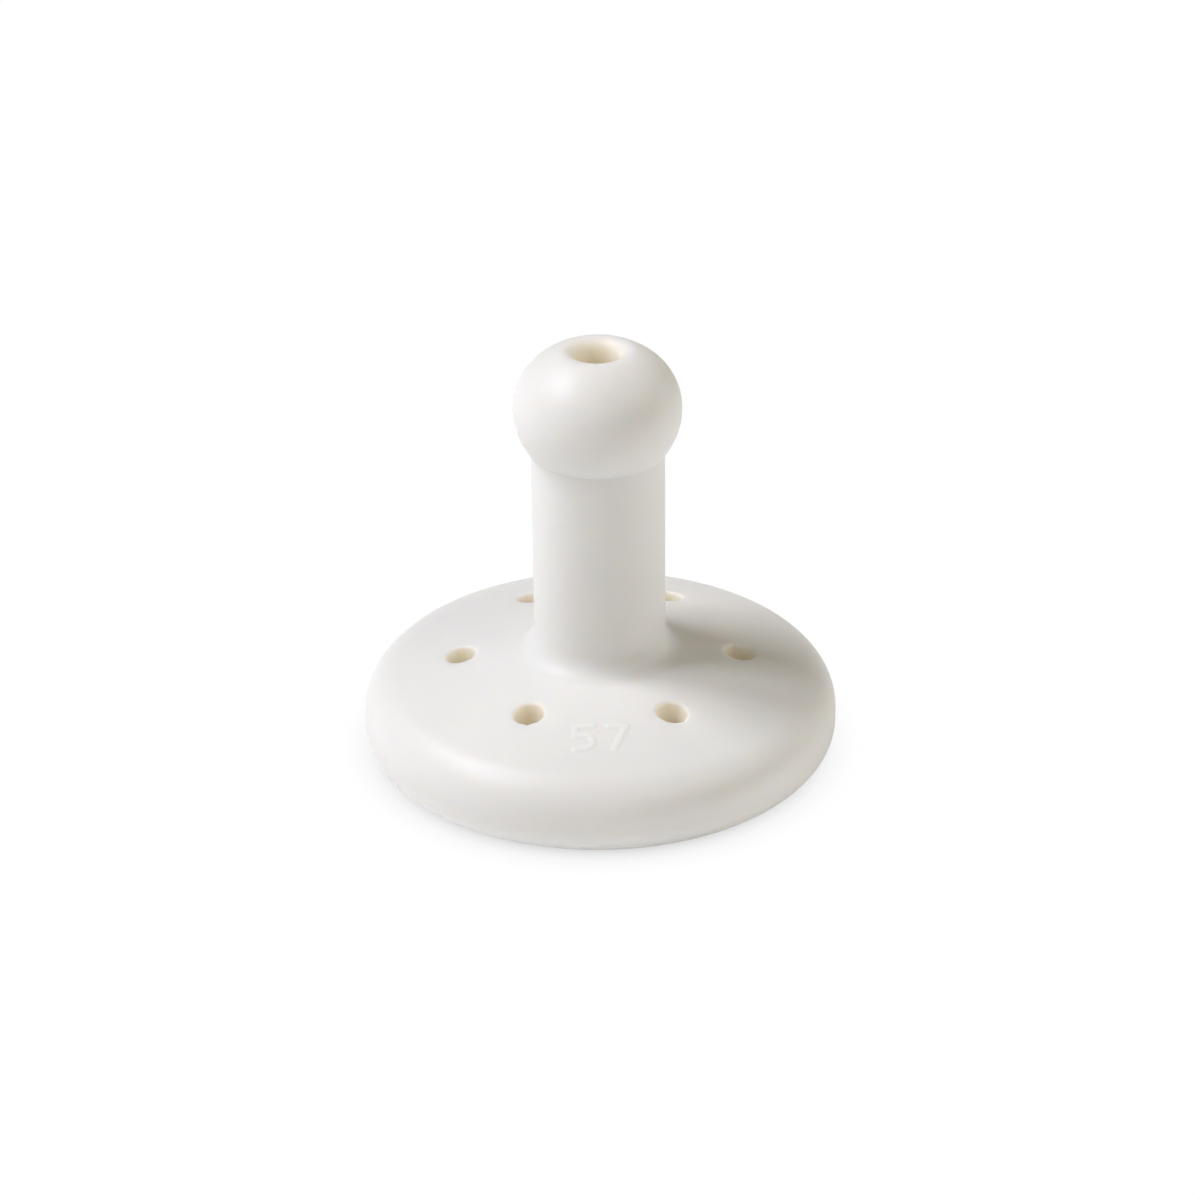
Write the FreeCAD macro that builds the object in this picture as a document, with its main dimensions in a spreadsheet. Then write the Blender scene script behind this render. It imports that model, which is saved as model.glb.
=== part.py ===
"""Stem pessary: a domed silicone disc with a rolled rim, and a stem that carries a knob.

Frame: millimetres, +Z up the stem's axis, origin on that axis in the plane the rim stands on.
The object is one soft moulding. Each region that works differently is a solid of its own:
rim, dome, size_mark, stem_root (the part that bends), stem and knob.
"""

import FreeCAD, Part
import math
import os

import Sketcher

VERTICAL_AXIS = -2
ORIGIN = (-1, 1)
START = 1
END = 2
CENTRE = 3

# Driving dimensions, each with the alias of its cell: millimetres, apart from the count of holes.
SIZES = [
    ("disc_diameter", 57.15),
    ("dome_height", 13.65),
    ("dome_radius", 83.0),
    ("wall_thickness", 4.8),
    ("split_radius", 22.0),
    ("rim_upper_radius", 5.0),
    ("rim_lower_radius", 3.7),
    ("rim_land_width", 1.275),
    ("rim_foot_radius", 3.6),
    ("cup_corner_radius", 2.0),
    ("drain_circle", 33.6),
    ("drain_bore", 3.6),
    ("drain_count", 6),
    ("drain_lip", 0.35),
    ("channel_bore", 5.2),
    ("channel_lip", 1.5),
    ("stem_diameter", 15.8),
    ("stem_fillet", 2.8),
    ("stem_root_top", 26.0),
    ("crease_height", 39.15),
    ("knob_diameter", 19.84),
    ("knob_equator", 44.65),
    ("knob_shoulder_radius", 7.5),
    ("knob_crown_radius", 11.8),
    ("mark_height", 4.4),
    ("mark_width", 2.8),
    ("mark_stroke", 0.7),
    ("mark_gap", 1.1),
    ("mark_radius", 19.3),
    ("mark_relief", 0.2),
]
SIZE = dict(SIZES)


def cell(name):
    """The expression that reads one driving dimension."""
    return "sizes." + name


# Lengths that follow from the driving dimensions, as expressions over the sheet.
DISC_RADIUS = cell("disc_diameter") + " / 2"
CHANNEL_RADIUS = cell("channel_bore") + " / 2"
STEM_RADIUS = cell("stem_diameter") + " / 2"
RIM_INNER_RADIUS = (
    "(sizes.disc_diameter / 2 - sizes.rim_lower_radius"
    " - sizes.rim_land_width - sizes.rim_foot_radius)"
)
DOME_CENTRE_DEPTH = "sizes.dome_radius - sizes.dome_height"
STEM_ROOT_BASE = (
    "sizes.dome_height - sizes.dome_radius"
    " + sqrt((sizes.dome_radius + sizes.stem_fillet) ^ 2"
    " - (sizes.stem_diameter / 2 + sizes.stem_fillet) ^ 2)"
)
CUP_CORNER_HEIGHT = (
    "sizes.dome_height - sizes.dome_radius"
    " + sqrt((sizes.dome_radius - sizes.wall_thickness - sizes.cup_corner_radius) ^ 2"
    " - (" + RIM_INNER_RADIUS + " - sizes.cup_corner_radius) ^ 2)"
)


# The same lengths as numbers, which place each sketch's curves before its constraints take over.
disc_radius = SIZE["disc_diameter"] / 2
channel_radius = SIZE["channel_bore"] / 2
stem_radius = SIZE["stem_diameter"] / 2
stem_root_top = SIZE["stem_root_top"]
crease_height = SIZE["crease_height"]
rim_land_outer = disc_radius - SIZE["rim_lower_radius"]
rim_land_inner = rim_land_outer - SIZE["rim_land_width"]
rim_inner_radius = rim_land_inner - SIZE["rim_foot_radius"]
dome_centre = SIZE["dome_height"] - SIZE["dome_radius"]
cup_radius = SIZE["dome_radius"] - SIZE["wall_thickness"]


def height_over(centre_height, reach, radius):
    """Height of the point at this radius from the axis, on a circle centred on the axis."""
    return centre_height + math.sqrt(reach**2 - radius**2)


stem_root_base = height_over(
    dome_centre, SIZE["dome_radius"] + SIZE["stem_fillet"], stem_radius + SIZE["stem_fillet"]
)
cup_corner_height = height_over(
    dome_centre, cup_radius - SIZE["cup_corner_radius"], rim_inner_radius - SIZE["cup_corner_radius"]
)


def make_sheet(doc):
    """Spreadsheet of the driving dimensions, with an aliased cell for each."""
    sheet = doc.addObject("Spreadsheet::Sheet", "sizes")
    for row, (name, value) in enumerate(SIZES, start=1):
        sheet.set("A%d" % row, name)
        sheet.set("B%d" % row, str(value))
        sheet.setAlias("B%d" % row, name)
    doc.recompute()
    return sheet


def make_body(doc, label):
    """Empty PartDesign body with the node's name."""
    body = doc.addObject("PartDesign::Body", label)
    body.Label = label
    return body


def make_sketch(body, name, plane):
    """Sketch on one of the body's own origin planes."""
    sketch = body.newObject("Sketcher::SketchObject", name)
    origin_plane = [o for o in body.Origin.OriginFeatures if o.Role == plane][0]
    sketch.AttachmentSupport = [(origin_plane, "")]
    sketch.MapMode = "FlatFace"
    return sketch


def point(x, y):
    return FreeCAD.Vector(x, y, 0)


def line(sketch, start, end):
    return sketch.addGeometry(Part.LineSegment(point(*start), point(*end)), False)


def arc(sketch, centre, start, end):
    """Counter-clockwise arc about a centre, from one point to another."""
    radius = math.hypot(start[0] - centre[0], start[1] - centre[1])
    first = math.atan2(start[1] - centre[1], start[0] - centre[0])
    last = math.atan2(end[1] - centre[1], end[0] - centre[0])
    whole = Part.Circle(point(*centre), FreeCAD.Vector(0, 0, 1), radius)
    return sketch.addGeometry(Part.ArcOfCircle(whole, first, last), False)


def circle(sketch, centre, radius):
    return sketch.addGeometry(Part.Circle(point(*centre), FreeCAD.Vector(0, 0, 1), radius), False)


def join(sketch, first, second):
    """Two curve ends at one point; each end is (curve, START or END)."""
    sketch.addConstraint(Sketcher.Constraint("Coincident", *first, *second))


def smooth(sketch, first, second):
    """Two curve ends at one point, with one tangent."""
    sketch.addConstraint(Sketcher.Constraint("Tangent", *first, *second))


def level(sketch, first, second):
    """Two points at one height."""
    sketch.addConstraint(Sketcher.Constraint("Horizontal", *first, *second))


def on_axis(sketch, item):
    """A point on the axis of revolution."""
    sketch.addConstraint(Sketcher.Constraint("PointOnObject", *item, VERTICAL_AXIS))


def bind(sketch, kind, items, value, name, expression):
    """Named dimension that takes its value from the sheet."""
    index = sketch.addConstraint(Sketcher.Constraint(kind, *items, value))
    sketch.renameConstraint(index, name)
    sketch.setExpression("Constraints." + name, expression)


def tangent_point(centre, reach, other):
    """Point of the circle about centre, on the line from its centre through another centre."""
    length = math.hypot(other[0] - centre[0], other[1] - centre[1])
    scale = reach / length
    return (centre[0] + scale * (other[0] - centre[0]), centre[1] + scale * (other[1] - centre[1]))


def revolve(body, sketch):
    """Full turn of a profile about the vertical axis."""
    turn = body.newObject("PartDesign::Revolution", sketch.Name + "_turn")
    turn.Profile = sketch
    turn.ReferenceAxis = (sketch, ["V_Axis"])
    turn.Angle = 360.0
    return turn


def make_rim(doc):
    """Rolled rim: a rounded bead that stands on a narrow flat land."""
    body = make_body(doc, "rim")
    sketch = make_sketch(body, "rim_profile", "YZ_Plane")

    upper_centre_x = disc_radius - SIZE["rim_upper_radius"]
    upper_centre = (
        upper_centre_x,
        height_over(dome_centre, SIZE["dome_radius"] - SIZE["rim_upper_radius"], upper_centre_x),
    )
    lower_centre = (rim_land_outer, SIZE["rim_lower_radius"])
    foot_centre = (rim_land_inner, SIZE["rim_foot_radius"])
    split_top = (
        SIZE["split_radius"],
        height_over(dome_centre, SIZE["dome_radius"], SIZE["split_radius"]),
    )
    split_low = (rim_inner_radius, cup_corner_height)
    shoulder = tangent_point((0, dome_centre), SIZE["dome_radius"], upper_centre)

    crown = arc(sketch, (0, dome_centre), shoulder, split_top)
    upper = arc(sketch, upper_centre, (disc_radius, upper_centre[1]), shoulder)
    flank = line(sketch, (disc_radius, lower_centre[1]), (disc_radius, upper_centre[1]))
    lower = arc(sketch, lower_centre, (rim_land_outer, 0), (disc_radius, lower_centre[1]))
    land = line(sketch, (rim_land_inner, 0), (rim_land_outer, 0))
    foot = arc(sketch, foot_centre, (rim_inner_radius, foot_centre[1]), (rim_land_inner, 0))
    wall = line(sketch, split_low, (rim_inner_radius, foot_centre[1]))
    split = line(sketch, split_top, split_low)

    smooth(sketch, (crown, START), (upper, END))
    smooth(sketch, (upper, START), (flank, END))
    smooth(sketch, (flank, START), (lower, END))
    smooth(sketch, (lower, START), (land, END))
    smooth(sketch, (land, START), (foot, END))
    smooth(sketch, (foot, START), (wall, END))
    join(sketch, (wall, START), (split, END))
    join(sketch, (split, START), (crown, END))
    on_axis(sketch, (crown, CENTRE))
    level(sketch, (land, START), ORIGIN)
    level(sketch, (land, END), ORIGIN)

    bind(sketch, "Radius", (crown,), SIZE["dome_radius"], "dome_radius", cell("dome_radius"))
    bind(sketch, "DistanceY", (crown, CENTRE, *ORIGIN), -dome_centre, "dome_depth", DOME_CENTRE_DEPTH)
    bind(sketch, "Radius", (upper,), SIZE["rim_upper_radius"], "upper_radius", cell("rim_upper_radius"))
    bind(sketch, "Radius", (lower,), SIZE["rim_lower_radius"], "lower_radius", cell("rim_lower_radius"))
    bind(sketch, "Radius", (foot,), SIZE["rim_foot_radius"], "foot_radius", cell("rim_foot_radius"))
    bind(sketch, "DistanceX", (*ORIGIN, flank, START), disc_radius, "disc_radius", DISC_RADIUS)
    bind(sketch, "DistanceX", (*ORIGIN, wall, END), rim_inner_radius, "inner_radius", RIM_INNER_RADIUS)
    bind(sketch, "DistanceY", (*ORIGIN, wall, START), cup_corner_height, "split_low", CUP_CORNER_HEIGHT)
    bind(sketch, "DistanceX", (*ORIGIN, split, START), split_top[0], "split_radius", cell("split_radius"))
    revolve(body, sketch)
    return body


def make_dome(doc):
    """Domed web inside the rim, with its drain holes, hollow underside and the stem's flared foot."""
    body = make_body(doc, "dome")
    sketch = make_sketch(body, "dome_profile", "YZ_Plane")

    fillet_centre = (stem_radius + SIZE["stem_fillet"], stem_root_base)
    corner_centre = (rim_inner_radius - SIZE["cup_corner_radius"], cup_corner_height)
    lip_centre_x = channel_radius + SIZE["channel_lip"]
    lip_centre = (lip_centre_x, height_over(dome_centre, cup_radius + SIZE["channel_lip"], lip_centre_x))
    fillet_end = tangent_point((0, dome_centre), SIZE["dome_radius"], fillet_centre)
    split_top = (
        SIZE["split_radius"],
        height_over(dome_centre, SIZE["dome_radius"], SIZE["split_radius"]),
    )
    split_low = (rim_inner_radius, cup_corner_height)
    corner_end = tangent_point((0, dome_centre), cup_radius, corner_centre)
    lip_end = tangent_point((0, dome_centre), cup_radius, lip_centre)

    channel = line(sketch, (channel_radius, lip_centre[1]), (channel_radius, stem_root_base))
    seat = line(sketch, (channel_radius, stem_root_base), (stem_radius, stem_root_base))
    fillet = arc(sketch, fillet_centre, (stem_radius, stem_root_base), fillet_end)
    crown = arc(sketch, (0, dome_centre), split_top, fillet_end)
    split = line(sketch, split_top, split_low)
    corner = arc(sketch, corner_centre, split_low, corner_end)
    cup = arc(sketch, (0, dome_centre), corner_end, lip_end)
    lip = arc(sketch, lip_centre, (channel_radius, lip_centre[1]), lip_end)

    join(sketch, (channel, END), (seat, START))
    join(sketch, (seat, END), (fillet, START))
    smooth(sketch, (fillet, END), (crown, END))
    join(sketch, (crown, START), (split, START))
    join(sketch, (split, END), (corner, START))
    smooth(sketch, (corner, END), (cup, START))
    smooth(sketch, (cup, END), (lip, END))
    smooth(sketch, (lip, START), (channel, START))
    level(sketch, (seat, START), (seat, END))
    level(sketch, (fillet, CENTRE), (fillet, START))
    level(sketch, (corner, CENTRE), (corner, START))
    on_axis(sketch, (crown, CENTRE))
    join(sketch, (cup, CENTRE), (crown, CENTRE))
    sketch.addConstraint(Sketcher.Constraint("Vertical", channel))

    bind(sketch, "Radius", (crown,), SIZE["dome_radius"], "dome_radius", cell("dome_radius"))
    bind(sketch, "DistanceY", (crown, CENTRE, *ORIGIN), -dome_centre, "dome_depth", DOME_CENTRE_DEPTH)
    bind(sketch, "Radius", (cup,), cup_radius, "cup_radius", "sizes.dome_radius - sizes.wall_thickness")
    bind(sketch, "Radius", (fillet,), SIZE["stem_fillet"], "stem_fillet", cell("stem_fillet"))
    bind(sketch, "Radius", (corner,), SIZE["cup_corner_radius"], "corner_radius", cell("cup_corner_radius"))
    bind(sketch, "Radius", (lip,), SIZE["channel_lip"], "channel_lip", cell("channel_lip"))
    bind(sketch, "DistanceX", (*ORIGIN, seat, START), channel_radius, "channel_radius", CHANNEL_RADIUS)
    bind(sketch, "DistanceX", (*ORIGIN, seat, END), stem_radius, "stem_radius", STEM_RADIUS)
    bind(sketch, "DistanceX", (*ORIGIN, split, START), split_top[0], "split_radius", cell("split_radius"))
    bind(sketch, "DistanceX", (*ORIGIN, split, END), rim_inner_radius, "inner_radius", RIM_INNER_RADIUS)
    web = revolve(body, sketch)
    doc.recompute()
    solid_volume = web.Shape.Volume

    drill = make_sketch(body, "drain_hole", "XY_Plane")
    reach = SIZE["drain_circle"] / 2
    hole = circle(drill, (reach, 0), SIZE["drain_bore"] / 2)
    level(drill, (hole, CENTRE), ORIGIN)
    bind(drill, "DistanceX", (*ORIGIN, hole, CENTRE), reach, "reach", "sizes.drain_circle / 2")
    bind(drill, "Diameter", (hole,), SIZE["drain_bore"], "bore", cell("drain_bore"))
    pocket = body.newObject("PartDesign::Pocket", "drain_pocket")
    pocket.Profile = drill
    pocket.Type = "ThroughAll"
    pocket.Midplane = True
    doc.recompute()
    one_hole = solid_volume - pocket.Shape.Volume

    pattern = body.newObject("PartDesign::PolarPattern", "drain_pattern")
    pattern.Originals = [pocket]
    pattern.Axis = (drill, ["N_Axis"])
    pattern.Angle = 360.0
    pattern.setExpression("Occurrences", cell("drain_count"))
    body.Tip = pattern
    doc.recompute()
    holes = solid_volume - pattern.Shape.Volume
    if abs(holes - SIZE["drain_count"] * one_hole) > 1.0 or one_hole < 1.0:
        raise SystemExit("the drain holes didn't cut the dome")

    lips = []
    for number, edge in enumerate(pattern.Shape.Edges, start=1):
        if not edge.isClosed() or edge.Length > 4 * SIZE["drain_bore"]:
            continue
        centre = edge.CenterOfMass
        away = math.hypot(centre.x, centre.y) > stem_radius
        if away and centre.z > SIZE["dome_height"] - SIZE["wall_thickness"]:
            lips.append("Edge%d" % number)
    if len(lips) != SIZE["drain_count"]:
        raise SystemExit("found %d drain lips" % len(lips))
    rounding = body.newObject("PartDesign::Fillet", "drain_lips")
    rounding.Base = (pattern, lips)
    rounding.setExpression("Radius", cell("drain_lip"))
    body.Tip = rounding
    return body


def make_tube(doc, label, base, base_height, top, top_height):
    """Length of the round stem, between two heights, with the drain channel through it."""
    body = make_body(doc, label)
    sketch = make_sketch(body, label + "_section", "XY_Plane")
    sketch.AttachmentOffset = FreeCAD.Placement(FreeCAD.Vector(0, 0, base_height), FreeCAD.Rotation())
    sketch.setExpression("AttachmentOffset.Base.z", base)
    outside = circle(sketch, (0, 0), stem_radius)
    inside = circle(sketch, (0, 0), channel_radius)
    join(sketch, (outside, CENTRE), ORIGIN)
    join(sketch, (inside, CENTRE), ORIGIN)
    bind(sketch, "Diameter", (outside,), SIZE["stem_diameter"], "stem", cell("stem_diameter"))
    bind(sketch, "Diameter", (inside,), SIZE["channel_bore"], "channel", cell("channel_bore"))
    pad = body.newObject("PartDesign::Pad", label + "_length")
    pad.Profile = sketch
    pad.Length = top_height - base_height
    pad.setExpression("Length", top + " - (" + base + ")")
    return body


def make_knob(doc):
    """Ball-shaped knob, flatter on top, with the rounded mouth of the drain channel."""
    body = make_body(doc, "knob")
    sketch = make_sketch(body, "knob_profile", "YZ_Plane")

    knob_radius = SIZE["knob_diameter"] / 2
    equator = SIZE["knob_equator"]
    shoulder_radius = SIZE["knob_shoulder_radius"]
    crown_radius = SIZE["knob_crown_radius"]
    lip_radius = SIZE["channel_lip"]
    shoulder_centre = (knob_radius - shoulder_radius, equator)
    crown_centre = (
        0,
        equator - math.sqrt((crown_radius - shoulder_radius) ** 2 - shoulder_centre[0] ** 2),
    )
    inset = knob_radius - stem_radius
    drop = equator - crease_height
    under_radius = (inset**2 + drop**2) / (2 * inset)
    under_centre = (knob_radius - under_radius, equator)
    lip_centre_x = channel_radius + lip_radius
    lip_centre = (lip_centre_x, height_over(crown_centre[1], crown_radius - lip_radius, lip_centre_x))
    crown_low = tangent_point(crown_centre, crown_radius, shoulder_centre)
    crown_high = tangent_point(crown_centre, crown_radius, lip_centre)

    seat = line(sketch, (stem_radius, crease_height), (channel_radius, crease_height))
    channel = line(sketch, (channel_radius, crease_height), (channel_radius, lip_centre[1]))
    lip = arc(sketch, lip_centre, crown_high, (channel_radius, lip_centre[1]))
    crown = arc(sketch, crown_centre, crown_low, crown_high)
    shoulder = arc(sketch, shoulder_centre, (knob_radius, equator), crown_low)
    under = arc(sketch, under_centre, (stem_radius, crease_height), (knob_radius, equator))

    join(sketch, (seat, END), (channel, START))
    smooth(sketch, (channel, END), (lip, END))
    smooth(sketch, (lip, START), (crown, END))
    smooth(sketch, (crown, START), (shoulder, END))
    smooth(sketch, (shoulder, START), (under, END))
    join(sketch, (under, START), (seat, START))
    level(sketch, (shoulder, CENTRE), (shoulder, START))
    level(sketch, (seat, START), (seat, END))
    on_axis(sketch, (crown, CENTRE))
    sketch.addConstraint(Sketcher.Constraint("Vertical", channel))

    bind(sketch, "Radius", (lip,), lip_radius, "channel_lip", cell("channel_lip"))
    bind(sketch, "Radius", (crown,), crown_radius, "crown_radius", cell("knob_crown_radius"))
    bind(sketch, "Radius", (shoulder,), shoulder_radius, "shoulder_radius", cell("knob_shoulder_radius"))
    bind(sketch, "DistanceX", (*ORIGIN, under, END), knob_radius, "knob_radius", "sizes.knob_diameter / 2")
    bind(sketch, "DistanceY", (*ORIGIN, under, END), equator, "equator", cell("knob_equator"))
    bind(sketch, "DistanceX", (*ORIGIN, seat, START), stem_radius, "stem_radius", STEM_RADIUS)
    bind(sketch, "DistanceY", (*ORIGIN, seat, START), crease_height, "crease", cell("crease_height"))
    bind(sketch, "DistanceX", (*ORIGIN, seat, END), channel_radius, "channel_radius", CHANNEL_RADIUS)
    revolve(body, sketch)
    return body


def outline_of_five(sheet, left, low):
    """Figure five: a flat top, a short upright and a round bowl, as lines and two arcs."""
    high = sheet.mark_height
    wide = sheet.mark_width
    stroke = sheet.mark_stroke
    bowl = wide / 2
    hollow = bowl - stroke

    def at(x, y):
        return point(left + x, low + y)

    corners = [
        at(bowl, 2 * bowl - stroke),
        at(0, 2 * bowl - stroke),
        at(0, high),
        at(wide, high),
        at(wide, high - stroke),
        at(stroke, high - stroke),
        at(stroke, 2 * bowl),
        at(bowl, 2 * bowl),
    ]
    tail = [at(bowl, 0), at(0, 0), at(0, stroke), at(bowl, stroke)]
    outer = Part.Arc(at(bowl, 2 * bowl), at(wide, bowl), at(bowl, 0))
    inner = Part.Arc(at(bowl, stroke), at(bowl + hollow, bowl), at(bowl, 2 * bowl - stroke))
    return straight(corners) + [outer] + straight(tail) + [inner]


def outline_of_seven(sheet, left, low):
    """Figure seven: a flat top and a slanting leg."""
    high = sheet.mark_height
    wide = sheet.mark_width
    stroke = sheet.mark_stroke
    foot = wide / 4
    corners = [
        (0, high),
        (wide, high),
        (wide, high - stroke),
        (foot + stroke, 0),
        (foot, 0),
        (wide - stroke, high - stroke),
        (0, high - stroke),
        (0, high),
    ]
    return straight([point(left + x, low + y) for x, y in corners])


def straight(points):
    """Line from each point to the next."""
    return [Part.LineSegment(a, b) for a, b in zip(points, points[1:])]


def column(outline, height):
    """Upright solid over an outline that lies in the ground plane."""
    wire = Part.Wire([curve.toShape() for curve in outline])
    return Part.Face(wire).extrude(FreeCAD.Vector(0, 0, height))


def make_size_mark(doc, sheet):
    """Disc size in millimetres, 57, standing in low relief on the front of the dome."""
    low = -sheet.mark_radius - sheet.mark_height / 2
    five = outline_of_five(sheet, -sheet.mark_width - sheet.mark_gap / 2, low)
    seven = outline_of_seven(sheet, sheet.mark_gap / 2, low)
    digits = doc.addObject("Part::Feature", "mark_digits")
    digits.Shape = Part.makeCompound([column(outline, 2 * sheet.dome_height) for outline in (five, seven)])

    relief = doc.addObject("Part::Sphere", "mark_relief")
    relief.setExpression("Radius", "sizes.dome_radius + sizes.mark_relief")
    ground = doc.addObject("Part::Sphere", "mark_ground")
    ground.setExpression("Radius", cell("dome_radius"))
    for ball in (relief, ground):
        ball.Placement.Base = FreeCAD.Vector(0, 0, dome_centre)
        ball.setExpression("Placement.Base.z", "sizes.dome_height - sizes.dome_radius")
    skin = doc.addObject("Part::Cut", "mark_skin")
    skin.Base = relief
    skin.Tool = ground
    mark = doc.addObject("Part::Common", "size_mark")
    mark.Base = skin
    mark.Tool = digits
    mark.Label = "size_mark"
    return mark


def check(doc, nodes):
    """Stop on any failed feature, empty shape or bad solid."""
    doc.recompute()
    failed = [o.Label for o in doc.Objects if {"Invalid", "Error"} & set(o.State)]
    if failed:
        raise SystemExit("failed features: " + ", ".join(failed))
    for node in nodes:
        if node.Shape.isNull() or not node.Shape.isValid() or node.Shape.Volume <= 0:
            raise SystemExit("bad shape: " + node.Label)
        print("%-12s %9.2f mm3  %d solids" % (node.Label, node.Shape.Volume, len(node.Shape.Solids)))


def main():
    doc = FreeCAD.newDocument("stem_pessary")
    sheet = make_sheet(doc)
    nodes = [
        make_rim(doc),
        make_dome(doc),
        make_size_mark(doc, sheet),
        make_tube(doc, "stem_root", STEM_ROOT_BASE, stem_root_base, cell("stem_root_top"), stem_root_top),
        make_tube(doc, "stem", cell("stem_root_top"), stem_root_top, cell("crease_height"), crease_height),
        make_knob(doc),
    ]
    check(doc, nodes)
    os.makedirs("parts", exist_ok=True)
    for node in nodes:
        node.Shape.exportStep(os.path.join("parts", node.Label + ".step"))


main()
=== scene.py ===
"""Stem pessary in soft white silicone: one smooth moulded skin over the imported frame."""

import math

import bpy
import numpy as np
from mathutils import Matrix, Vector


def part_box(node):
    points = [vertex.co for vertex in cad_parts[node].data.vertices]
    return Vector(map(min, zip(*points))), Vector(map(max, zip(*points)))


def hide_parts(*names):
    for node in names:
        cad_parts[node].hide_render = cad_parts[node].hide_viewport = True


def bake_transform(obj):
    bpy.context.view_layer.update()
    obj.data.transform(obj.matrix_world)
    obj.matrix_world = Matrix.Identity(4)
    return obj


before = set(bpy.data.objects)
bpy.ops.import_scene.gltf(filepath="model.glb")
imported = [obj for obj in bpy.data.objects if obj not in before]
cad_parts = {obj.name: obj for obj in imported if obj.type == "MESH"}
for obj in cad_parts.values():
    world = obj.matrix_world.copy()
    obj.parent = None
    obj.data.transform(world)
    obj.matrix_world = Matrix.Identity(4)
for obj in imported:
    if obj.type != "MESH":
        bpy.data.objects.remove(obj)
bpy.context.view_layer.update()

MM = 0.001

# ---------------------------------------------------------------- sizes, in millimetres


def reach(node):
    """Radius of a round node."""
    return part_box(node)[1][0] / MM


def top(node):
    """Height of a node's highest point."""
    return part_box(node)[1][2] / MM


def foot(node):
    """Height of a node's lowest point."""
    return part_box(node)[0][2] / MM


DISC_RADIUS = reach("rim")
STEM_RADIUS = reach("stem")
KNOB_RADIUS = reach("knob")
STEM_FOOT = foot("stem_root")
CREASE = top("stem")

# The dome is part of a sphere that the stem's fillet touches. The cup is the hollow under it.
DOME_RADIUS = 83.0
STEM_FILLET = 2.8
FILLET_REACH = STEM_RADIUS + STEM_FILLET
DOME_CENTRE = STEM_FOOT - math.sqrt((DOME_RADIUS + STEM_FILLET) ** 2 - FILLET_REACH**2)
WALL = 4.8
CUP_RADIUS = DOME_RADIUS - WALL
CUP_CORNER = 2.0

# The rim's bead has an upper and a lower arc, and stands on a narrow flat land.
RIM_UPPER = 5.0
RIM_LOWER = 3.7
RIM_LAND = 1.275
RIM_FOOT = 3.6
RIM_INNER_RADIUS = DISC_RADIUS - RIM_LOWER - RIM_LAND - RIM_FOOT

# The channel runs through the whole length, with a rounded lip at each end.
CHANNEL_RADIUS = 2.6
CHANNEL_LIP = 1.5

# The knob's outline is three arcs: under its equator, at its shoulder and over its crown.
KNOB_EQUATOR = 44.65
KNOB_SHOULDER = 7.5
KNOB_CROWN = 11.8
CREASE_FILLET = 0.3

# The drain holes are a little uneven, and each has one nick where flash was trimmed. The turns,
# the nick's width and its place around each hole are in radians.
DRAIN_COUNT = 6
DRAIN_CIRCLE_RADIUS = 16.8
DRAIN_RADIUS = 1.76
DRAIN_LIP = 0.4
DRAIN_UNDER_LIP = 0.3
DRAIN_OVAL = 0.04
DRAIN_LOBES = 0.025
OVAL_TURN = 1.7
LOBES_TURN = 0.9
NICK_DEPTH = 0.22
NICK_WIDTH = 0.085
NICK_AT = (1.9, 4.4, 0.6, 2.6, 4.62, 5.4)

# The size mark is two figures in soft relief on the front of the dome, centred at MARK_RADIUS.
MARK_HEIGHT = 4.4
MARK_WIDTH = 2.8
MARK_STROKE = 0.7
MARK_GAP = 1.1
MARK_RADIUS = 19.3
MARK_RELIEF = 0.15
MARK_SOFT = 0.4
MARK_MARGIN = 0.5
MARK_INNER = MARK_RADIUS - MARK_HEIGHT / 2 - MARK_SOFT
MARK_OUTER = math.hypot(MARK_RADIUS + MARK_HEIGHT / 2, MARK_WIDTH + MARK_GAP / 2) + MARK_SOFT


# ---------------------------------------------------------------- profile

# Spacing of the mesh's rows along the profile.
MARK_STEP = 0.11
CELL_STEP = 0.34
FOOT_STEP = 0.5
DOME_STEP = 0.6
CUP_STEP = 1.1

# A cell is the patch of dome or cup around one drain hole.
CELL_INNER = 13.6
CELL_OUTER = 19.6


def divided(start, end, count):
    """Evenly spaced values from start up to, not including, end."""
    return list(np.linspace(start, end, count, endpoint=False))


def spaced(start, end, step):
    """Values about one step apart, from start up to, not including, end."""
    return divided(start, end, max(1, round(abs(end - start) / step)))


CELL_RADII = np.array(
    spaced(CELL_INNER, MARK_INNER, CELL_STEP)
    + spaced(MARK_INNER, CELL_OUTER, MARK_STEP)
    + [CELL_OUTER]
)


def dome_height(radius):
    """Height of the dome's upper surface at a distance from the axis."""
    return DOME_CENTRE + np.sqrt(DOME_RADIUS**2 - radius**2)


def cup_height(radius):
    """Height of the hollow underside: a dome that rounds down into the rim's inner wall."""
    centre = RIM_INNER_RADIUS - CUP_CORNER
    centre_height = DOME_CENTRE + math.sqrt((CUP_RADIUS - CUP_CORNER) ** 2 - centre**2)
    turn = CUP_RADIUS * centre / (CUP_RADIUS - CUP_CORNER)
    dome = DOME_CENTRE + np.sqrt(CUP_RADIUS**2 - np.minimum(radius, turn) ** 2)
    past = np.maximum(radius, turn) - centre
    corner = centre_height + np.sqrt(np.maximum(CUP_CORNER**2 - past**2, 0.0))
    return np.where(radius < turn, dome, corner)


def arc(centre, radius, start, end, count):
    """Points along an arc, angles in degrees, without the last one."""
    angles = np.radians(divided(start, end, count))
    return [(centre[0] + radius * math.cos(a), centre[1] + radius * math.sin(a)) for a in angles]


def run(start, end, count):
    """Points along a straight run, without the last one."""
    along, up = end[0] - start[0], end[1] - start[1]
    return [(start[0] + t * along, start[1] + t * up) for t in divided(0.0, 1.0, count)]


def over(height, radii):
    """Points on a surface whose height is a function of the radius."""
    return [(float(r), float(height(r))) for r in radii]


def angle_to(point, target):
    """Direction from a point to a target, in degrees from 0 to 360."""
    return math.degrees(math.atan2(target[1] - point[1], target[0] - point[0])) % 360.0


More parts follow.
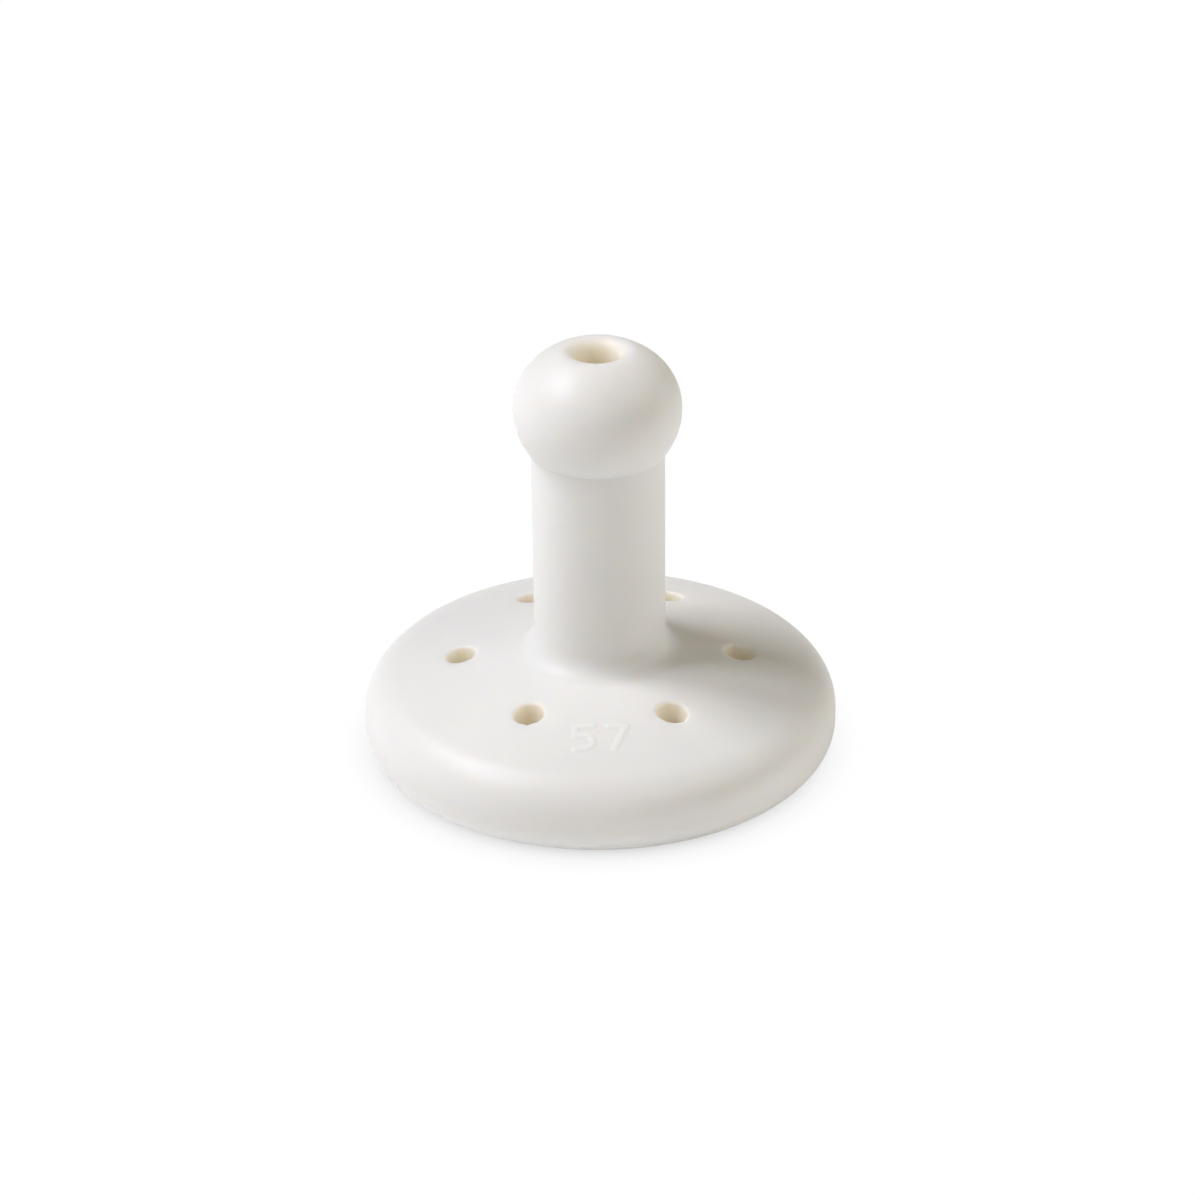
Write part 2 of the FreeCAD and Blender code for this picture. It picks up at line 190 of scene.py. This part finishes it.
def build_profile():
    """Closed outline of the moulding, and the rows where its cells start, below and above.

    It runs from the channel's lower mouth out under the cup, over the rim, dome, stem and knob,
    and back down the channel. The last number of each arc or run is its count of points.
    """
    lip_x = CHANNEL_RADIUS + CHANNEL_LIP
    low_lip = (lip_x, DOME_CENTRE + math.sqrt((CUP_RADIUS + CHANNEL_LIP) ** 2 - lip_x**2))
    low_lip_end = CUP_RADIUS * low_lip[0] / (CUP_RADIUS + CHANNEL_LIP)
    dome_middle = (0.0, DOME_CENTRE)
    land_outer = DISC_RADIUS - RIM_LOWER
    land_inner = land_outer - RIM_LAND
    corner = (RIM_INNER_RADIUS - CUP_CORNER, float(cup_height(RIM_INNER_RADIUS)))
    corner_start = angle_to(corner, (CELL_OUTER, float(cup_height(CELL_OUTER))))
    upper_x = DISC_RADIUS - RIM_UPPER
    upper = (upper_x, DOME_CENTRE + math.sqrt((DOME_RADIUS - RIM_UPPER) ** 2 - upper_x**2))
    shoulder_angle = angle_to(dome_middle, upper)
    shoulder_radius = DOME_RADIUS * math.cos(math.radians(shoulder_angle))
    fillet = (FILLET_REACH, STEM_FOOT)
    fillet_radius = DOME_RADIUS * fillet[0] / (DOME_RADIUS + STEM_FILLET)

    inset = KNOB_RADIUS - STEM_RADIUS
    under_radius = (inset**2 + (KNOB_EQUATOR - CREASE) ** 2) / (2 * inset)
    under = (KNOB_RADIUS - under_radius, KNOB_EQUATOR)
    crease_x = STEM_RADIUS + CREASE_FILLET
    crease_drop = math.sqrt((under_radius + CREASE_FILLET) ** 2 - (crease_x - under[0]) ** 2)
    crease = (crease_x, KNOB_EQUATOR - crease_drop)
    shoulder = (KNOB_RADIUS - KNOB_SHOULDER, KNOB_EQUATOR)
    crown = (0.0, KNOB_EQUATOR - math.sqrt((KNOB_CROWN - KNOB_SHOULDER) ** 2 - shoulder[0] ** 2))
    high_lip = (lip_x, crown[1] + math.sqrt((KNOB_CROWN - CHANNEL_LIP) ** 2 - lip_x**2))

    rows = arc(low_lip, CHANNEL_LIP, 180.0, angle_to(low_lip, dome_middle), 8)
    rows += over(cup_height, spaced(low_lip_end, CELL_INNER, CUP_STEP))
    under_first = len(rows)
    rows += over(cup_height, CELL_RADII)
    rows += arc(corner, CUP_CORNER, corner_start, 0.0, 5)[1:]

    rows += run((RIM_INNER_RADIUS, corner[1]), (RIM_INNER_RADIUS, RIM_FOOT), 3)
    rows += arc((land_inner, RIM_FOOT), RIM_FOOT, 180.0, 270.0, 11)
    rows += run((land_inner, 0.0), (land_outer, 0.0), 2)
    rows += arc((land_outer, RIM_LOWER), RIM_LOWER, 270.0, 360.0, 15)
    rows += run((DISC_RADIUS, RIM_LOWER), (DISC_RADIUS, upper[1]), 1)
    rows += arc(upper, RIM_UPPER, 0.0, shoulder_angle, 14)

    rows += over(dome_height, spaced(shoulder_radius, MARK_OUTER, DOME_STEP))
    rows += over(dome_height, spaced(MARK_OUTER, CELL_OUTER, MARK_STEP))
    over_first = len(rows)
    rows += over(dome_height, CELL_RADII[::-1])
    rows += over(dome_height, spaced(CELL_INNER, fillet_radius, FOOT_STEP)[1:])

    rows += arc(fillet, STEM_FILLET, angle_to(fillet, dome_middle), 180.0, 12)
    rows += run((STEM_RADIUS, STEM_FOOT), (STEM_RADIUS, crease[1]), 27)
    rows += arc(crease, CREASE_FILLET, 180.0, angle_to(crease, under), 5)
    rows += arc(under, under_radius, angle_to(under, crease) - 360.0, 0.0, 13)
    rows += arc(shoulder, KNOB_SHOULDER, 0.0, angle_to(crown, shoulder), 14)
    rows += arc(crown, KNOB_CROWN, angle_to(crown, shoulder), angle_to(crown, high_lip), 8)
    rows += arc(high_lip, CHANNEL_LIP, angle_to(crown, high_lip), 180.0, 9)
    rows += run((CHANNEL_RADIUS, high_lip[1]), (CHANNEL_RADIUS, low_lip[1]), 34)
    return np.array(rows), under_first, over_first


# ---------------------------------------------------------------- size mark


def to_segment(x, y, start, end):
    """Distance from points to a straight stroke."""
    dx, dy = end[0] - start[0], end[1] - start[1]
    t = np.clip(((x - start[0]) * dx + (y - start[1]) * dy) / (dx * dx + dy * dy), 0.0, 1.0)
    return np.hypot(x - start[0] - t * dx, y - start[1] - t * dy)


def to_right_bow(x, y, centre, radius):
    """Distance from points to the right half of a circle."""
    dx, dy = x - centre[0], y - centre[1]
    ends = np.minimum(np.hypot(dx, dy - radius), np.hypot(dx, dy + radius))
    return np.where(dx > 0, np.abs(np.hypot(dx, dy) - radius), ends)


def five(x, y):
    """Distance from points to the strokes of a 5 whose lower left corner is at zero."""
    half = MARK_STROKE / 2
    bowl = MARK_WIDTH / 2
    high = MARK_HEIGHT - half
    waist = 2 * bowl - half
    right = MARK_WIDTH - half
    strokes = [
        to_segment(x, y, (half, high), (right, high)),
        to_segment(x, y, (half, high), (half, waist)),
        to_segment(x, y, (half, waist), (bowl, waist)),
        to_segment(x, y, (half, half), (bowl, half)),
        to_right_bow(x, y, (bowl, bowl), bowl - half),
    ]
    return np.min(strokes, axis=0)


def seven(x, y):
    """Distance from points to the strokes of a 7 whose lower left corner is at zero."""
    half = MARK_STROKE / 2
    high = MARK_HEIGHT - half
    right = MARK_WIDTH - half
    strokes = [
        to_segment(x, y, (half, high), (right, high)),
        to_segment(x, y, (right, high), (MARK_WIDTH / 4 + half, half)),
    ]
    return np.min(strokes, axis=0)


def mark_relief(x, y):
    """Height of the raised disc size, 57, over the dome."""
    low = -MARK_RADIUS - MARK_HEIGHT / 2
    left = -MARK_WIDTH - MARK_GAP / 2
    distance = np.minimum(five(x - left, y - low), seven(x - MARK_GAP / 2, y - low))
    t = np.clip((MARK_STROKE / 2 + MARK_SOFT / 2 - distance) / MARK_SOFT, 0.0, 1.0)
    return MARK_RELIEF * t * t * (3 - 2 * t)


# ---------------------------------------------------------------- skin

# Lines of longitude. CELL_HALF and MARK_HALF are half widths in degrees, and FRONT_GAP is the
# gap between two drain holes that holds the size mark.
CELL_HALF = 11.0
CELL_LINES = 12
GAP_LINES = 18
FRONT_GAP = 4
MARK_HALF = 12.4
MARK_LINES = 74
MARK_SIDE_LINES = 5

# Rings around a drain hole: shares of the way from its lip to its cell's edge, and counts.
CELL_SHARES = np.array([0.84, 0.67, 0.5, 0.34, 0.2, 0.09, 0.0])
LIP_RINGS = 7
BORE_RINGS = 7


def build_azimuths():
    """Angles of the lines of longitude, closer under the size mark, and each cell's first line."""
    pitch = 360.0 / DRAIN_COUNT
    angles = []
    firsts = []
    for k in range(DRAIN_COUNT):
        centre = k * pitch
        start, end = centre + CELL_HALF, centre + pitch - CELL_HALF
        firsts.append(len(angles))
        angles += divided(centre - CELL_HALF, start, CELL_LINES)
        if k == FRONT_GAP:
            middle = (start + end) / 2
            angles += divided(start, middle - MARK_HALF, MARK_SIDE_LINES)
            angles += divided(middle - MARK_HALF, middle + MARK_HALF, MARK_LINES)
            angles += divided(middle + MARK_HALF, end, MARK_SIDE_LINES)
        else:
            angles += divided(start, end, GAP_LINES)
    return np.radians(angles), firsts


def inside(distance, lip):
    """How far a point lies inside a bore: 1 on its wall, 0 from its lip's outer edge outwards."""
    return np.clip(1.0 - distance / lip, 0.0, 1.0)


def turn_profile(profile, azimuths):
    """Grid of points by line and row, the size mark raised, and how far each is in the bore."""
    radius, height = profile[:, 0][None, :], profile[:, 1][None, :]
    x, y = np.cos(azimuths)[:, None] * radius, np.sin(azimuths)[:, None] * radius
    near_mark = (radius > MARK_INNER - MARK_MARGIN) & (radius < MARK_OUTER + MARK_MARGIN)
    on_dome = near_mark & (height > STEM_FOOT / 2)
    raised = np.where(np.broadcast_to(on_dome, x.shape), mark_relief(x, y), 0.0)
    bore = inside(np.broadcast_to(radius, x.shape) - CHANNEL_RADIUS, CHANNEL_LIP)
    return x + raised * (x / DOME_RADIUS), y + raised * (y / DOME_RADIUS), height + raised, bore


def drain_edge(k, angle):
    """Radius of a drain hole around its edge, with its unevenness and its nick."""
    away = np.abs((angle - NICK_AT[k] + math.pi) % (2 * math.pi) - math.pi)
    nick = NICK_DEPTH * np.exp(-((away / NICK_WIDTH) ** 2))
    oval = DRAIN_OVAL * np.sin(2 * angle + OVAL_TURN * k)
    lobes = DRAIN_LOBES * np.sin(3 * angle + LOBES_TURN * k)
    return DRAIN_RADIUS + nick + (oval + lobes)


def drain_rings(k, cell_edge):
    """Rings of points from a cell's edge in to the hole, down its wall and out again below."""
    angle = 2 * math.pi * k / DRAIN_COUNT
    centre = DRAIN_CIRCLE_RADIUS * np.array([math.cos(angle), math.sin(angle)])
    away = cell_edge - centre
    distance = np.linalg.norm(away, axis=1)
    direction = away / distance[:, None]
    edge = drain_edge(k, np.arctan2(direction[:, 1], direction[:, 0]))

    def ring(out, surface, drop):
        flat = centre + direction * out[:, None]
        height = surface(np.linalg.norm(flat, axis=1)) + drop
        return np.column_stack([flat, height, inside(out - edge, DRAIN_LIP)])

    turns = np.radians(np.linspace(0.0, 90.0, LIP_RINGS))
    rings = []
    for share in CELL_SHARES:
        lip = edge + DRAIN_LIP
        rings.append(ring(lip + share * (distance - lip), dome_height, 0.0))
    for t in turns[1:]:
        out = edge + DRAIN_LIP * (1 - math.sin(t))
        rings.append(ring(out, dome_height, -DRAIN_LIP * (1 - math.cos(t))))
    high = rings[-1]
    low = ring(edge, cup_height, DRAIN_UNDER_LIP)
    for share in np.linspace(0.0, 1.0, BORE_RINGS)[1:-1]:
        rings.append(high + share * (low - high))
    for t in turns[::-2]:
        out = edge + DRAIN_UNDER_LIP * (1 - math.sin(t))
        rings.append(ring(out, cup_height, DRAIN_UNDER_LIP * (1 - math.cos(t))))
    for share in CELL_SHARES[::-2][1:]:
        lip = edge + DRAIN_UNDER_LIP
        rings.append(ring(lip + share * (distance - lip), cup_height, 0.0))
    return rings


def around_cell(first, depth):
    """Lines and rows of the points around a cell's edge, in order. Row 0 is nearest the axis."""
    last = first + CELL_LINES
    walk = [(first, row) for row in range(depth)]
    walk += [(line, depth) for line in range(first, last)]
    walk += [(last, row) for row in range(depth, 0, -1)]
    walk += [(line, 0) for line in range(last, first, -1)]
    return np.array(walk).T


def ribbon(loop, following):
    """Quads between two closed loops of points."""
    return np.column_stack([loop, np.roll(loop, -1), np.roll(following, -1), following])


def make_piece(name, points, quads):
    """Smooth mesh object, faces outwards. A point's fourth number says how far it is in a bore."""
    mesh = bpy.data.meshes.new(name)
    mesh.from_pydata((points[:, :3] * MM).tolist(), [], quads.tolist())
    mesh.attributes.new("bore", "FLOAT", "POINT").data.foreach_set("value", points[:, 3])
    piece = bpy.data.objects.new(name, mesh)
    bpy.context.scene.collection.objects.link(piece)
    bpy.context.view_layer.objects.active = piece
    piece.select_set(True)
    bpy.ops.object.mode_set(mode="EDIT")
    bpy.ops.mesh.select_all(action="SELECT")
    bpy.ops.mesh.normals_make_consistent(inside=False)
    bpy.ops.object.mode_set(mode="OBJECT")
    bpy.ops.object.shade_smooth()
    return piece


def build_skin():
    """The whole moulding as one closed mesh of quads: a turned outline with cells let into it."""
    profile, under_first, over_first = build_profile()
    azimuths, firsts = build_azimuths()
    lines, rows = len(azimuths), len(profile)
    depth = len(CELL_RADII) - 1

    # A cell has no points of the grid inside its edge, and none of the grid's faces.
    used = np.ones((lines, rows), bool)
    faced = np.ones((lines, rows), bool)
    for first in firsts:
        for start in (under_first, over_first):
            used[first + 1 : first + CELL_LINES, start + 1 : start + depth] = False
            faced[first : first + CELL_LINES, start : start + depth] = False
    count = np.count_nonzero(used)
    index = np.full((lines, rows), -1)
    index[used] = np.arange(count)
    points = [np.column_stack([part[used] for part in turn_profile(profile, azimuths)])]

    i, j = np.nonzero(faced)
    i2, j2 = (i + 1) % lines, (j + 1) % rows
    quads = [np.column_stack([index[i, j], index[i2, j], index[i2, j2], index[i, j2]])]

    directions = np.column_stack([np.cos(azimuths), np.sin(azimuths)])
    for k, first in enumerate(firsts):
        line, row = around_cell(first, depth)
        cell_edge = directions[line] * CELL_RADII[row][:, None]
        loop = index[line, over_first + depth - row]
        for ring in drain_rings(k, cell_edge):
            following = np.arange(count, count + len(ring))
            points.append(ring)
            quads.append(ribbon(loop, following))
            count += len(ring)
            loop = following
        quads.append(ribbon(loop, index[line, under_first + row]))
    return make_piece("silicone_moulding", np.vstack(points), np.vstack(quads))


# ---------------------------------------------------------------- materials

# Silicone. SCATTER_RADIUS is how far red, green and blue light spread, times SCATTER_SCALE in
# metres. A texture's scale is its features to the metre, and SPECK_SIZE is a share of one.
SILICONE_IOR = 1.41
SCATTER_RADIUS = (1.0, 0.85, 0.7)
SCATTER_SCALE = 0.003
CLOUD_SCALE = 60.0
CLOUD_STOPS = [(0.35, (0.846, 0.84, 0.828, 1.0)), (0.65, (0.864, 0.86, 0.85, 1.0))]
# Inside the drain holes and the channel the colour turns warmer and lighter: painted glow of light
# that passes through the silicone and bounces inside them.
BORE_PAINTED_GLOW = (1.0, 0.89, 0.79, 1.0)
SPECK_SCALE = 170.0
SPECK_SIZE = 0.0213
SPECK_STRENGTH = 0.8
SPECK_COLOUR = (0.3, 0.26, 0.22, 1.0)
SATIN_SCALE = 220.0
SATIN_SMOOTH = 0.38
SATIN_ROUGH = 0.5
TEXTURE_SCALE = 2600.0
TEXTURE_STRENGTH = 0.12
TEXTURE_DEPTH = 0.00003


def new_material(name):
    """A material with its node tree and its shader."""
    material = bpy.data.materials.new(name)
    material.use_nodes = True
    return material, material.node_tree, material.node_tree.nodes["Principled BSDF"]


def fill(tree, node, inputs):
    """Sets a node's inputs: a socket is linked, and anything else is the input's own value."""
    for name, value in inputs.items():
        if isinstance(value, bpy.types.NodeSocket):
            tree.links.new(value, node.inputs[name])
        else:
            node.inputs[name].default_value = value


def add(tree, kind, inputs, **settings):
    """Adds a shader node with its settings and inputs."""
    node = tree.nodes.new(kind)
    for name, value in settings.items():
        setattr(node, name, value)
    fill(tree, node, inputs)
    return node


def add_range(tree, value, inputs):
    """Adds a node that maps a value from one range to another, both 0 to 1 unless set."""
    return add(tree, "ShaderNodeMapRange", {"Value": value, **inputs}).outputs["Result"]


def silicone():
    """Off-white silicone: soft translucency, satin skin, faint cloudiness, fine mould texture."""
    material, tree, shader = new_material("silicone")
    where = add(tree, "ShaderNodeTexCoord", {}).outputs["Object"]

    def noise(scale, detail):
        inputs = {"Vector": where, "Scale": scale, "Detail": detail}
        return add(tree, "ShaderNodeTexNoise", inputs).outputs["Fac"]

    def mix(share, colour, other):
        inputs = {"Factor": share, "A": colour, "B": other}
        return add(tree, "ShaderNodeMix", inputs, data_type="RGBA").outputs["Result"]

    cloud = add(tree, "ShaderNodeValToRGB", {"Fac": noise(CLOUD_SCALE, 2.0)})
    for element, (position, colour) in zip(cloud.color_ramp.elements, CLOUD_STOPS):
        element.position = position
        element.color = colour
    bore = add(tree, "ShaderNodeAttribute", {}, attribute_name="bore")
    # Painted glow: the bore mask mixes the warm, lighter colour in along the holes and the
    # channel.
    with_bore_glow = mix(bore.outputs["Fac"], cloud.outputs["Color"], BORE_PAINTED_GLOW)
    cells = add(tree, "ShaderNodeTexVoronoi", {"Vector": where, "Scale": SPECK_SCALE})
    speck_range = {"From Max": SPECK_SIZE, "To Min": SPECK_STRENGTH, "To Max": 0.0}
    speck = add_range(tree, cells.outputs["Distance"], speck_range)
    satin_range = {"To Min": SATIN_SMOOTH, "To Max": SATIN_ROUGH}
    bump_inputs = {
        "Height": noise(TEXTURE_SCALE, 2.0),
        "Strength": TEXTURE_STRENGTH,
        "Distance": TEXTURE_DEPTH,
    }
    looks = {
        "Base Color": mix(speck, with_bore_glow, SPECK_COLOUR),
        "Roughness": add_range(tree, noise(SATIN_SCALE, 3.0), satin_range),
        "Normal": add(tree, "ShaderNodeBump", bump_inputs).outputs["Normal"],
        "IOR": SILICONE_IOR,
        "Subsurface Weight": 1.0,
        "Subsurface Radius": SCATTER_RADIUS,
        "Subsurface Scale": SCATTER_SCALE,
    }
    fill(tree, shader, looks)
    return material


# ---------------------------------------------------------------- studio, in metres and degrees

# The floor glows for the camera, dimmed near the object by a painted contact shadow, and is white
# paint to every other ray.
FLOOR_SIZE = 6.0
FLOOR_TONE = 0.9
FLOOR_GLOW = 0.12
FLOOR_ROUGHNESS = 0.9
FLOOR_SPECULAR = 0.1
CONTACT_REACH = 0.02
CONTACT_SAMPLES = 16
CONTACT_DARKEST = 0.03
CONTACT_FADE = 0.2
CONTACT_CLEAR = 1.05

CAMERA_DISTANCE = 0.4674
CAMERA_ELEVATION = 28.07
CAMERA_TARGET = (0.00006, 0.0, 0.01915)
CAMERA_LENS = 116.8
CAMERA_ROLL = -0.56

AMBIENT_COLOUR = (1.0, 0.87, 0.55, 1.0)
AMBIENT_STRENGTH = 0.115

SOFTBOX_DISTANCE = 0.9
SOFTBOX_TARGET = (0.0, 0.0, 0.025)
DAYLIGHT = (0.99, 1.0, 1.06)
WARM = (1.0, 0.97, 0.92)

# Each softbox: name, azimuth, elevation, size, power in watts and colour.
SOFTBOXES = [
    ("key_back", 167.5, 57.0, 0.24, 4.05, DAYLIGHT),
    ("key_front", 195.0, 45.0, 0.2, 2.8, DAYLIGHT),
    ("front_right", 325.0, 35.0, 0.45, 1.2, WARM),
    ("right", 0.0, 25.0, 0.45, 0.95, WARM),
    ("right_back", 30.0, 12.0, 0.3, 0.75, WARM),
    ("front", 270.0, 20.0, 0.45, 0.3, WARM),
]


def build_floor():
    """White table top: it lights the object from below, and shows only a soft painted contact
    shadow.
    """
    bpy.ops.mesh.primitive_plane_add(size=FLOOR_SIZE, location=(0.0, 0.0, 0.0))
    floor = bpy.context.object
    floor.name = "floor"
    material, tree, shader = new_material("floor")

    def maths(operation, value, number, clamp=False):
        inputs = {0: value, 1: number}
        node = add(tree, "ShaderNodeMath", inputs, operation=operation, use_clamp=clamp)
        return node.outputs["Value"]

    # Painted contact shadow: ambient occlusion near the object dims the glow that the camera sees.
    contact = add(
        tree, "ShaderNodeAmbientOcclusion", {"Distance": CONTACT_REACH}, samples=CONTACT_SAMPLES
    )
    open_sky = add_range(tree, contact.outputs["AO"], {"To Min": CONTACT_DARKEST})
    shade = maths("MULTIPLY", maths("POWER", open_sky, CONTACT_FADE), CONTACT_CLEAR, clamp=True)
    seen = add(tree, "ShaderNodeLightPath", {}).outputs["Is Camera Ray"]
    looks = {
        "Base Color": add_range(tree, seen, {"To Min": FLOOR_TONE, "To Max": 0.0}),
        "Emission Color": (1.0, 1.0, 1.0, 1.0),
        "Emission Strength": add_range(tree, seen, {"To Min": FLOOR_GLOW, "To Max": shade}),
        "Roughness": FLOOR_ROUGHNESS,
        "Specular IOR Level": FLOOR_SPECULAR,
    }
    fill(tree, shader, looks)
    floor.data.materials.append(material)


def place_around(item, target, azimuth, elevation, distance, roll=0.0):
    """Puts an object at a distance around a target and facing it; azimuth 0 is +X, 90 is +Y."""
    bpy.context.scene.collection.objects.link(item)
    a, e = math.radians(azimuth), math.radians(elevation)
    item.location = (
        target[0] + distance * math.cos(e) * math.cos(a),
        target[1] + distance * math.cos(e) * math.sin(a),
        target[2] + distance * math.sin(e),
    )
    look = (Vector(target) - item.location).to_track_quat("-Z", "Y").to_matrix().to_4x4()
    item.rotation_euler = (look @ Matrix.Rotation(math.radians(roll), 4, "Z")).to_euler()


def build_softbox(name, azimuth, elevation, size, power, colour):
    """Square area light around the object."""
    data = bpy.data.lights.new(name, "AREA")
    data.shape = "SQUARE"
    data.size = size
    data.energy = power
    data.color = colour
    lamp = bpy.data.objects.new(name, data)
    place_around(lamp, SOFTBOX_TARGET, azimuth, elevation, SOFTBOX_DISTANCE)


def build_camera():
    """Long lens at the front, looking a little down."""
    data = bpy.data.cameras.new("camera")
    data.lens = CAMERA_LENS
    data.sensor_width = 36.0
    data.clip_start = 0.01
    camera = bpy.data.objects.new("camera", data)
    place_around(
        camera, CAMERA_TARGET, 270.0, CAMERA_ELEVATION, CAMERA_DISTANCE, CAMERA_ROLL
    )
    bpy.context.scene.camera = camera


def build_studio():
    """Dim warm surroundings and the softboxes."""
    world = bpy.data.worlds.new("studio")
    bpy.context.scene.world = world
    world.use_nodes = True
    background = world.node_tree.nodes["Background"]
    background.inputs["Color"].default_value = AMBIENT_COLOUR
    background.inputs["Strength"].default_value = AMBIENT_STRENGTH
    for box in SOFTBOXES:
        build_softbox(*box)
    bpy.context.scene.view_settings.view_transform = "Standard"


build_camera()
build_studio()
build_floor()

moulding = build_skin()
moulding.data.materials.append(silicone())
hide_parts("rim", "dome", "size_mark", "stem_root", "stem", "knob")
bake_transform(moulding)
